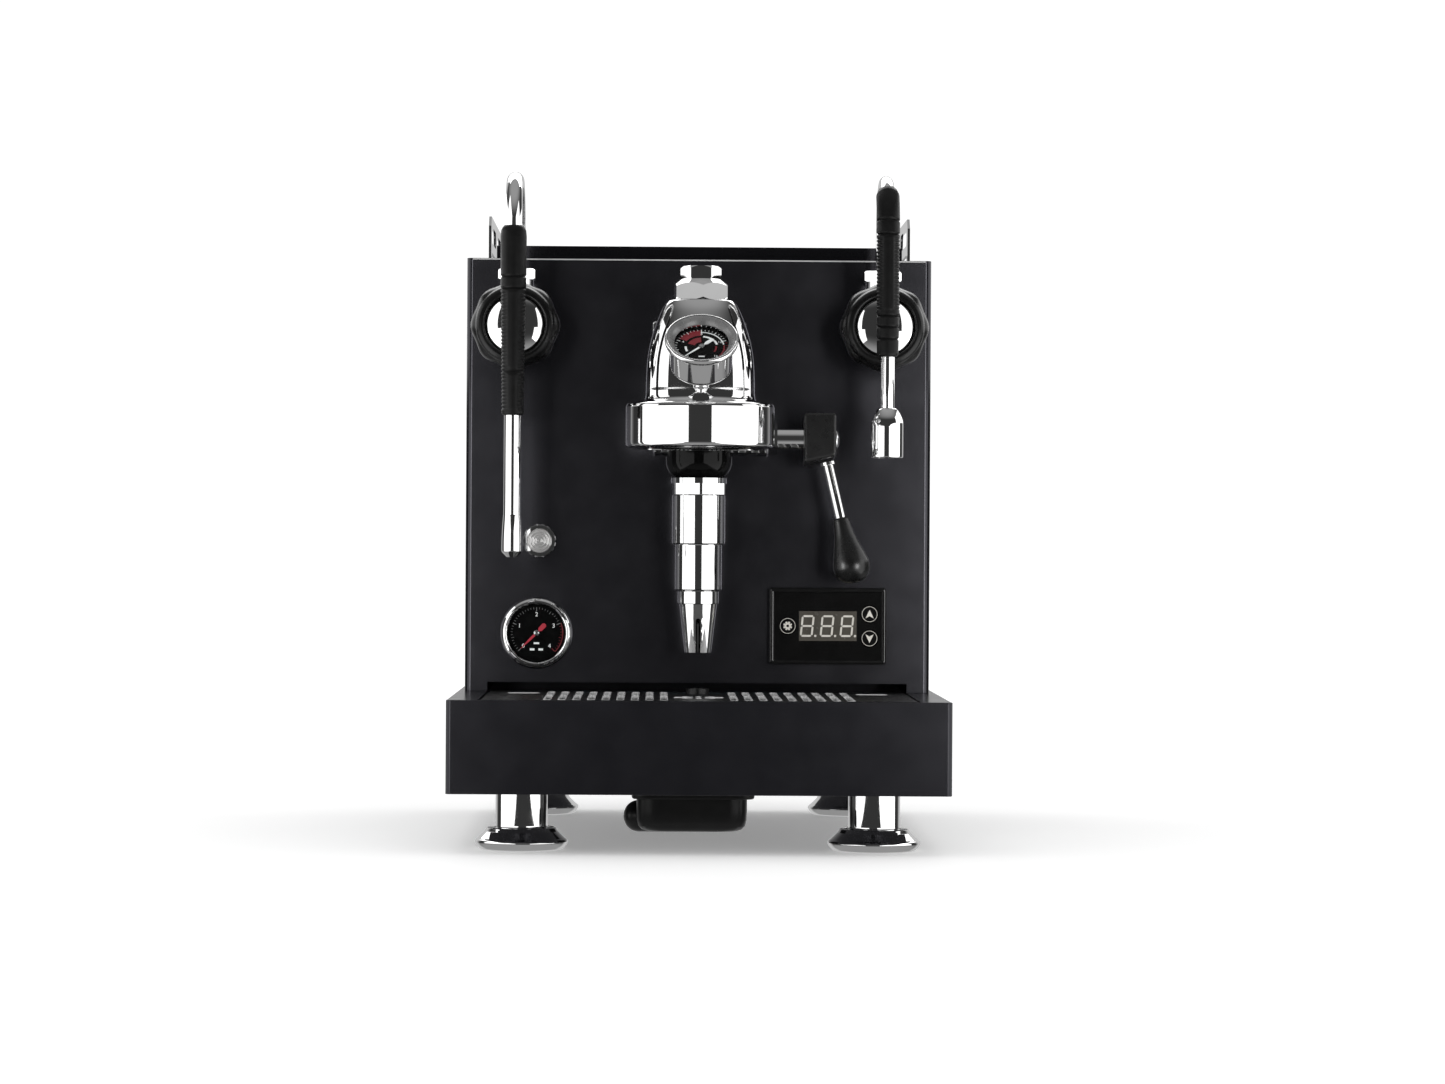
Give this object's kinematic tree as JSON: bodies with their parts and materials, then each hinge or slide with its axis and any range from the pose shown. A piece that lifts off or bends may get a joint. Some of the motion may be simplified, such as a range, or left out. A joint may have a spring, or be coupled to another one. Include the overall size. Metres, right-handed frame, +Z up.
{
  "type": "espresso machine",
  "caption": "Countertop espresso machine with a lever group, steam and hot-water wands, gauges, a temperature display, a sliding drip tray and a lift-out water tank.",
  "frame": {"origin": "on the floor under the middle of the machine's box", "axes": "+Z up, -Y to the front (group and drip tray side), +X to the right seen from the front"},
  "size_m": [0.315, 0.4595, 0.4335],
  "materials": {
    "black_paint": "satin black powder coat",
    "black_grate": "black coated steel",
    "chrome": "polished chrome",
    "stainless": "brushed",
    "rubber": "matt",
    "black_plastic": "satin",
    "gloss_black": "glossy",
    "display": "dark grey window",
    "dial_black": "matt dial",
    "needle_white": "matt white",
    "needle_red": "matt red",
    "glass": "clear",
    "lens": "clear moulded lens",
    "tank_plastic": "clear moulded plastic",
    "copper": "bare copper",
    "brass": "machined",
    "pump_metal": "cast"
  },
  "bodies": {
    "machine": {"base_frame": "black_paint", "front_panel": "black_paint", "body_cover": "black_paint", "cup_tray": "black_paint", "cup_rails": "chrome", "feet": "chrome", "cover_screws": "stainless", "drain_bowl": "black_plastic", "group_body": "chrome", "group_cap_nut": "chrome", "flange_nuts": "chrome", "lower_valve_nut": "chrome", "infusion_chamber": "chrome", "drain_tube": "chrome", "shower_screen": "stainless", "group_gasket": "rubber", "group_gauge_case": "chrome", "group_gauge_dial": "dial_black", "group_gauge_glass": "glass", "valve_bodies": "chrome", "wand_nuts": "chrome", "boiler_gauge_case": "chrome", "boiler_gauge_dial": "dial_black", "boiler_gauge_glass": "glass", "display_housing": "gloss_black", "display_window": "display", "power_bezel": "chrome", "boiler_shell": "copper", "heating_element": "brass", "copper_pipes": "copper", "pump": "pump_metal", "electronics_box": "black_plastic", "power_inlet": "black_plastic"},
    "drip_tray": {"drip_tray_front": "black_paint", "drip_tray_pan": "stainless"},
    "grate": {"drip_grate": "black_grate"},
    "tank": {"water_tank": "tank_plastic"},
    "tank_lid": {"tank_lid": "black_plastic"},
    "lever": {"lever_shaft": "chrome", "lever_hub": "black_plastic", "lever_rod": "chrome", "lever_knob": "gloss_black"},
    "brew_valve": {"brew_valve": "brass"},
    "discharge_valve": {"discharge_valve": "brass"},
    "steam_wand": {"steam_pipe": "chrome", "steam_grip": "rubber", "steam_tip": "chrome"},
    "water_wand": {"water_pipe": "chrome", "water_grip": "rubber", "water_spout": "chrome"},
    "steam_control": {"steam_knob": "gloss_black", "steam_stem": "chrome"},
    "water_control": {"water_knob": "gloss_black", "water_stem": "chrome"},
    "set_button": {"set_button": "gloss_black"},
    "up_button": {"up_button": "gloss_black"},
    "down_button": {"down_button": "gloss_black"},
    "power_button": {"power_button": "lens"},
    "boiler_needle": {"boiler_gauge_needle": "needle_red"},
    "group_needle": {"group_gauge_needle": "needle_white"}
  },
  "joints": [
    {"name": "drip_tray_slide", "type": "slide", "parent": "machine", "child": "drip_tray", "axis": [0, -1, 0], "range_m": [0, 0.24]},
    {"name": "grate_lift", "type": "slide", "parent": "drip_tray", "child": "grate", "axis": [0, 0, 1], "range_m": [0, 0.012]},
    {"name": "tank_lift", "type": "slide", "parent": "machine", "child": "tank", "axis": [0, 0, 1], "range_m": [0, 0.29]},
    {"name": "tank_lid_hinge", "type": "hinge", "parent": "tank", "child": "tank_lid", "pos_m": [0, 0.2145, 0.3758], "axis": [-1, 0, 0], "range_deg": [0, 95]},
    {"name": "lever_lift", "type": "hinge", "parent": "machine", "child": "lever", "pos_m": [0.05, -0.086, 0.2627], "axis": [-1, 0, 0], "range_deg": [0, 75]},
    {"name": "brew_valve_slide", "type": "slide", "parent": "machine", "child": "brew_valve", "axis": [0, 0, 1], "range_m": [0, 0.0023]},
    {"name": "discharge_valve_slide", "type": "slide", "parent": "machine", "child": "discharge_valve", "axis": [0, 0, 1], "range_m": [0, 0.0015]},
    {"name": "steam_wand_swivel", "type": "hinge", "parent": "machine", "child": "steam_wand", "pos_m": [-0.1196, -0.076, 0.37], "axis": [0, 0, -1], "range_deg": [-20, 70]},
    {"name": "water_wand_swivel", "type": "hinge", "parent": "machine", "child": "water_wand", "pos_m": [0.1196, -0.076, 0.37], "axis": [0, 0, 1], "range_deg": [-20, 70]},
    {"name": "steam_knob_turn", "type": "hinge", "parent": "machine", "child": "steam_control", "pos_m": [-0.1196, -0.1, 0.335], "axis": [0, -1, 0], "range_deg": [0, 540]},
    {"name": "water_knob_turn", "type": "hinge", "parent": "machine", "child": "water_control", "pos_m": [0.1196, -0.1, 0.335], "axis": [0, -1, 0], "range_deg": [0, 540]},
    {"name": "set_press", "type": "slide", "parent": "machine", "child": "set_button", "axis": [0, 1, 0], "range_m": [0, 0.0008], "stiffness_N_per_m": 400},
    {"name": "up_press", "type": "slide", "parent": "machine", "child": "up_button", "axis": [0, 1, 0], "range_m": [0, 0.0008], "stiffness_N_per_m": 400},
    {"name": "down_press", "type": "slide", "parent": "machine", "child": "down_button", "axis": [0, 1, 0], "range_m": [0, 0.0008], "stiffness_N_per_m": 400},
    {"name": "power_press", "type": "slide", "parent": "machine", "child": "power_button", "axis": [0, 1, 0], "range_m": [0, 0.003], "stiffness_N_per_m": 300},
    {"name": "boiler_needle_turn", "type": "hinge", "parent": "machine", "child": "boiler_needle", "pos_m": [-0.1062, -0.051, 0.1346], "axis": [0, 1, 0], "range_deg": [0, 270], "stiffness_Nm_per_rad": 0.002},
    {"name": "group_needle_turn", "type": "hinge", "parent": "machine", "child": "group_needle", "pos_m": [0, -0.2132, 0.3227], "axis": [0, 0.682, -0.7314], "range_deg": [0, 270], "stiffness_Nm_per_rad": 0.002}
  ],
  "couplings": [
    {"joint": "brew_valve_slide", "follows": "lever_lift", "m_per_rad": 0.0017},
    {"joint": "discharge_valve_slide", "follows": "lever_lift", "m_per_rad": 0.0011}
  ]
}
